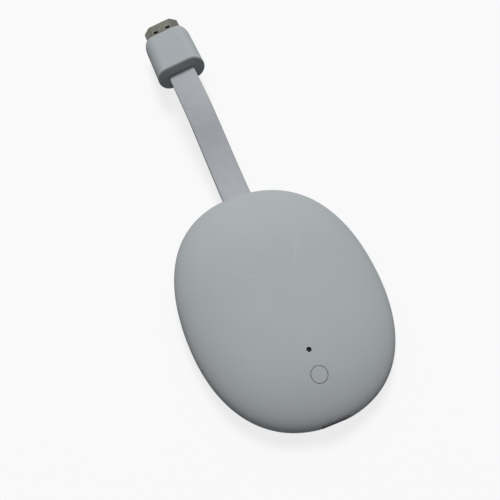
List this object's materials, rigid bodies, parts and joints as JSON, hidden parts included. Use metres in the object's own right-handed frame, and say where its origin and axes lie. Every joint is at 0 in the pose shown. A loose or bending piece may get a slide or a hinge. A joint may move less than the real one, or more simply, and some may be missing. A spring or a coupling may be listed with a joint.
{
  "type": "streaming stick",
  "caption": "Flat oval media streaming dongle on a short flat ribbon cable with a video plug at its end.",
  "frame": {"origin": "middle of the flat face that the stick lies on, under the middle of the oval housing", "axes": "+Y along the stick towards the video plug, +Z out of the back face with the reset button, +X across"},
  "size_m": [0.061, 0.1616, 0.0154],
  "materials": {
    "cover_grey": "fine matte moulded plastic",
    "sleeve_grey": "fine matte moulded plastic",
    "ribbon_grey": "matte soft jacket",
    "anchor_grey": "matte moulded",
    "mould_white": "moulded, unpainted",
    "nickel": "plain nickel plating, drawn grain",
    "black_resin": "moulded resin",
    "gold": "thin gold plating",
    "copper": "bare drawn wire",
    "board": "solder mask over glass-fibre laminate",
    "chip_black": "moulded epoxy",
    "steel": "zinc plating",
    "tinned": "tinned sheet",
    "pad_blue": "soft silicone",
    "spreader": "mill finish",
    "clear": "clear moulded plastic, drawn as glass",
    "light": "clear resin over phosphor",
    "ferrite": "pressed ferrite",
    "ceramic": "fired ceramic",
    "switch_black": "moulded"
  },
  "bodies": {
    "stick": {"front_cover": "cover_grey", "back_cover": "cover_grey", "push_switch_body": "switch_black", "switch_snap_dome": "tinned", "status_light": "light", "light_pipe": "clear", "main_board": "board", "board_screws": "steel", "processor_chip": "chip_black", "upper_memory_chip": "chip_black", "lower_memory_chip": "chip_black", "flash_chip": "chip_black", "radio_chip": "chip_black", "power_chip": "chip_black", "power_inductors": "ferrite", "capacitors": "ceramic", "clock_crystal": "tinned", "back_shield_can": "tinned", "front_shield_can": "tinned", "processor_thermal_pad": "pad_blue", "back_thermal_pad": "pad_blue", "front_thermal_pad": "pad_blue", "back_heat_spreader": "spreader", "front_heat_spreader": "spreader", "power_socket_shell": "nickel", "power_socket_contacts": "gold", "power_socket_insulator": "black_resin", "left_antenna": "tinned", "right_antenna": "tinned", "flat_cable": "ribbon_grey", "cable_anchor": "anchor_grey", "ribbon_wires": "copper", "cable_clamp": "steel", "plug_sleeve": "sleeve_grey", "plug_inner_mould": "mould_white", "plug_shell": "nickel", "plug_contacts": "gold", "plug_insulator": "black_resin", "plug_wires": "copper"},
    "button": {"reset_button": "cover_grey"},
    "plunger": {"switch_plunger": "black_resin"}
  },
  "joints": [
    {"name": "button_press", "type": "slide", "parent": "stick", "child": "button", "axis": [0, 0, -1], "range_m": [0, 0.00025], "stiffness_N_per_m": 6000},
    {"name": "plunger_press", "type": "slide", "parent": "stick", "child": "plunger", "axis": [0, 0, -1], "range_m": [0, 0.00025], "deforming": ["switch_snap_dome"]}
  ],
  "couplings": [
    {"joint": "plunger_press", "follows": "button_press", "ratio": 1}
  ]
}
